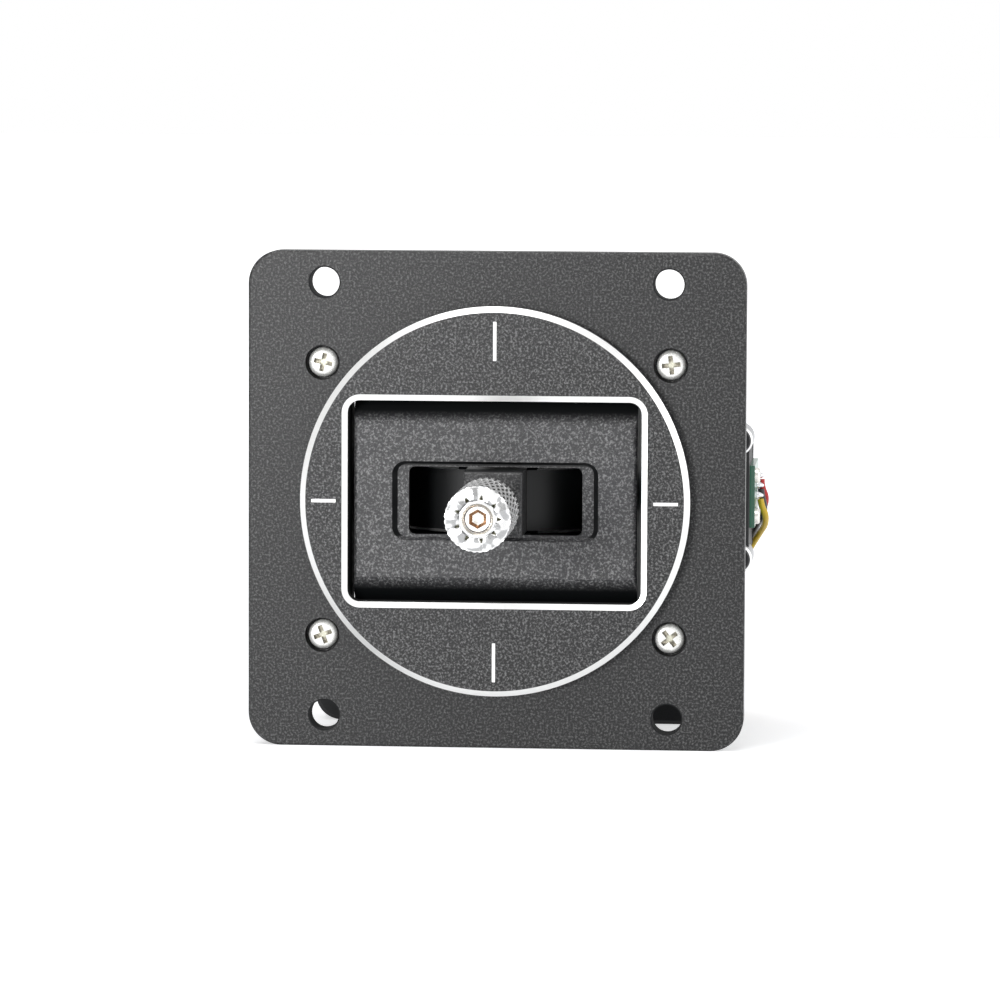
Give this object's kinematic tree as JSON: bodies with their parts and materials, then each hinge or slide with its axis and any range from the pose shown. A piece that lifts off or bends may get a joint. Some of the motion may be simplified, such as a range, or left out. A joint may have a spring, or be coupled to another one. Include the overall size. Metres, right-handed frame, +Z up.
{
  "type": "radio transmitter gimbal",
  "caption": "Two-axis self-centring stick gimbal with a square anodised face plate, tilting yoke, swinging stick and contactless angle sensors.",
  "frame": {"origin": "centre of the four panel holes on the front seat face of the face plate", "axes": "+X to the right, +Y away from the user into the radio, +Z up; the stick points along -Y at rest"},
  "size_m": [0.0623, 0.0966, 0.06],
  "materials": {
    "anodised": "sandblasted, black anodised",
    "frame_black": "machined, black anodised",
    "nickel": "bright nickel plate",
    "bearing_steel": "ground",
    "shaft_steel": "ground",
    "spring_steel": "drawn wire",
    "aluminium": "bright turned",
    "stud": "turned",
    "magnet": "nickel plate",
    "circuit_board": "solder resist",
    "chip": "moulded",
    "solder": "solder",
    "wire_yellow": "wire insulation",
    "wire_black": "wire insulation",
    "wire_red": "wire insulation",
    "plug_white": "moulded nylon",
    "contact": "plated"
  },
  "bodies": {
    "frame": {"face_plate": "anodised", "main_frame": "frame_black", "plate_screws": "nickel", "tilt_outer_rings": "bearing_steel", "tilt_lever_screw": "nickel", "tilt_anchor_screw": "nickel", "sensor_bracket": "frame_black", "sensor_posts": "aluminium", "bracket_screws": "nickel", "tilt_board": "circuit_board", "board_screws": "nickel", "tilt_chip": "chip", "solder_joints": "solder", "tilt_spring": "spring_steel", "lead_yellow": "wire_yellow", "lead_black": "wire_black", "lead_red": "wire_red", "lead_plug": "plug_white", "plug_contacts": "contact"},
    "yoke": {"yoke": "anodised", "tilt_inner_rings": "bearing_steel", "tilt_shaft_left": "shaft_steel", "tilt_shaft_right": "shaft_steel", "tilt_cam": "frame_black", "tilt_magnet_cup": "aluminium", "tilt_magnet": "magnet", "swing_outer_rings": "bearing_steel", "swing_board": "circuit_board", "swing_chip": "chip", "swing_posts": "nickel", "swing_lever_screw": "nickel", "swing_anchor_screw": "nickel", "swing_spring": "spring_steel"},
    "stick": {"stick_drum": "anodised", "stick_block": "anodised", "stick_rod": "stud", "swing_pin": "shaft_steel", "hub_set_screw": "shaft_steel", "swing_inner_rings": "bearing_steel", "swing_cam": "frame_black", "swing_magnet": "magnet"},
    "stick_end": {"stick_crown": "aluminium", "stick_lock_nut": "aluminium"},
    "tilt_lever": {"tilt_lever": "aluminium"},
    "swing_lever": {"swing_lever": "aluminium"},
    "tilt_anchor": {"tilt_anchor": "aluminium"},
    "swing_anchor": {"swing_anchor": "aluminium"}
  },
  "joints": [
    {"name": "yoke_tilt", "type": "hinge", "parent": "frame", "child": "yoke", "pos_m": [0, 0.0165, 0], "axis": [1, 0, 0], "range_deg": [-22, 22], "stiffness_Nm_per_rad": 0.1},
    {"name": "stick_swing", "type": "hinge", "parent": "yoke", "child": "stick", "pos_m": [0, 0.0165, 0], "axis": [0, 0, 1], "range_deg": [-20, 20], "stiffness_Nm_per_rad": 0.08},
    {"name": "stick_end_height", "type": "slide", "parent": "stick", "child": "stick_end", "axis": [0, -1, 0], "range_m": [-0.002, 0.004]},
    {"name": "tilt_lever_lift", "type": "hinge", "parent": "frame", "child": "tilt_lever", "pos_m": [0, 0.0075, 0.007], "axis": [1, 0, 0], "range_deg": [0, 2], "stiffness_Nm_per_rad": 0.02, "springref_deg": -11.46, "deforming": ["tilt_spring"]},
    {"name": "swing_lever_lift", "type": "hinge", "parent": "yoke", "child": "swing_lever", "pos_m": [-0.0115, 0.02245, 0], "axis": [0, 0, 1], "range_deg": [0, 2], "stiffness_Nm_per_rad": 0.02, "springref_deg": -11.46, "deforming": ["swing_spring"]},
    {"name": "tilt_tension", "type": "slide", "parent": "frame", "child": "tilt_anchor", "axis": [0, 0, -1], "range_m": [-0.0015, 0.0015], "deforming": ["tilt_spring"]},
    {"name": "swing_tension", "type": "slide", "parent": "yoke", "child": "swing_anchor", "axis": [0, -1, 0], "range_m": [-0.0008, 0.0008], "deforming": ["swing_spring"]}
  ]
}
